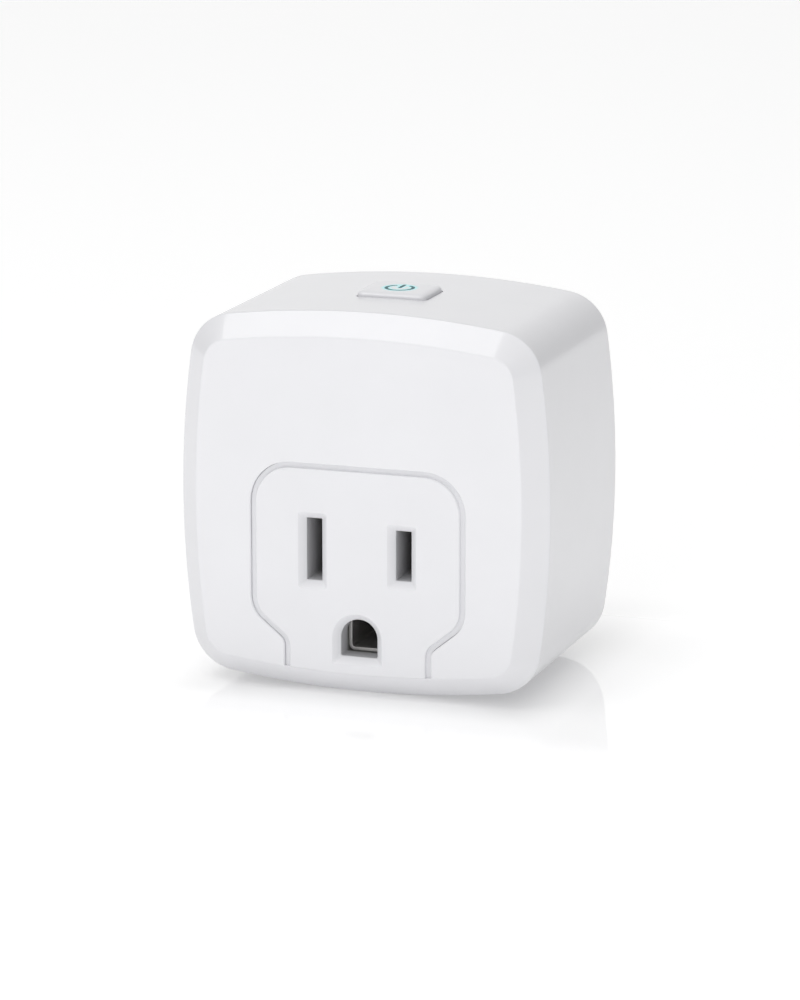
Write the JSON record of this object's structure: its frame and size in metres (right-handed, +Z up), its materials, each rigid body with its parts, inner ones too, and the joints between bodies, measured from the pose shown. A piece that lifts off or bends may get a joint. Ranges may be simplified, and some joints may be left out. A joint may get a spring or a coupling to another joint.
{
  "type": "smart plug",
  "caption": "Square white smart plug with bowed sides, a flush outlet panel on the front, a raised power button on top and flat prongs with a round ground pin behind.",
  "frame": {"origin": "middle of the rear face, in the plane that meets the wall plate", "axes": "+Y back into the wall, along the prongs; +Z up, towards the button; +X to the right when the outlet faces the viewer"},
  "size_m": [0.0524, 0.0545, 0.0531],
  "materials": {
    "shell_white": "satin white moulded polycarbonate",
    "panel_white": "satin white moulded polycarbonate",
    "cover_white": "fine spark-textured white polycarbonate",
    "button_white": "satin white moulded polycarbonate",
    "icon_cyan": "translucent cyan, lit from below",
    "clear_guide": "clear moulded acrylic",
    "prong_metal": "nickel-plated brass, lightly brushed",
    "contact_brass": "stamped phosphor bronze",
    "ground_metal": "nickel-plated stamped strip",
    "copper_strap": "tinned copper",
    "carrier_plastic": "natural glass-filled nylon",
    "screw_steel": "zinc-plated steel",
    "board_green": "solder-masked glass epoxy",
    "board_blue": "solder-masked glass epoxy",
    "relay_black": "moulded relay case",
    "film_yellow": "epoxy-filled plastic box",
    "varistor_blue": "dipped epoxy lacquer",
    "fuse_green": "ceramic-coated resistor body",
    "can_aluminium": "sleeved aluminium can",
    "choke_ferrite": "ferrite drum with enamelled winding",
    "chip_black": "moulded epoxy package",
    "shield_tin": "tin-plated steel can",
    "trace_gold": "gold-plated copper",
    "wire_red": "PVC insulation",
    "led_white": "small surface-mount LED",
    "plunger_black": "moulded acetal"
  },
  "bodies": {
    "casing": {"front_housing": "shell_white", "outlet_insert": "panel_white", "rear_cover": "cover_white", "cover_screws": "screw_steel", "hot_blade": "prong_metal", "neutral_blade": "prong_metal", "ground_pin": "prong_metal", "contact_carrier": "carrier_plastic", "contact_retainer": "carrier_plastic", "carrier_screws": "screw_steel", "hot_contact": "contact_brass", "neutral_contact": "contact_brass", "ground_contact": "ground_metal", "ground_strap": "copper_strap", "neutral_strap": "copper_strap", "hot_lead": "wire_red", "main_board": "board_green", "board_screws": "screw_steel", "relay": "relay_black", "film_capacitor": "film_yellow", "varistor": "varistor_blue", "fuse_resistor": "fuse_green", "bridge_rectifier": "chip_black", "bulk_capacitors": "can_aluminium", "filter_choke": "choke_ferrite", "converter_chip": "chip_black", "output_capacitor": "can_aluminium", "regulator_chip": "chip_black", "wifi_board": "board_blue", "header_pins": "trace_gold", "wifi_shield": "shield_tin", "antenna_trace": "trace_gold", "switch_board": "board_green", "switch_ribbon": "plunger_black", "switch_base": "relay_black", "switch_dome": "ground_metal", "status_led": "led_white"},
    "button": {"button_cap": "button_white", "light_guide": "clear_guide", "icon_lens": "icon_cyan"},
    "plunger": {"switch_plunger": "plunger_black"}
  },
  "joints": [
    {"name": "button_press", "type": "slide", "parent": "casing", "child": "button", "axis": [0, 0, -1], "range_m": [0, 0.0005], "stiffness_N_per_m": 2500},
    {"name": "plunger_press", "type": "slide", "parent": "casing", "child": "plunger", "axis": [0, 0, -1], "range_m": [0, 0.0005], "deforming": ["switch_dome"]}
  ],
  "couplings": [
    {"joint": "plunger_press", "follows": "button_press", "ratio": 1}
  ]
}
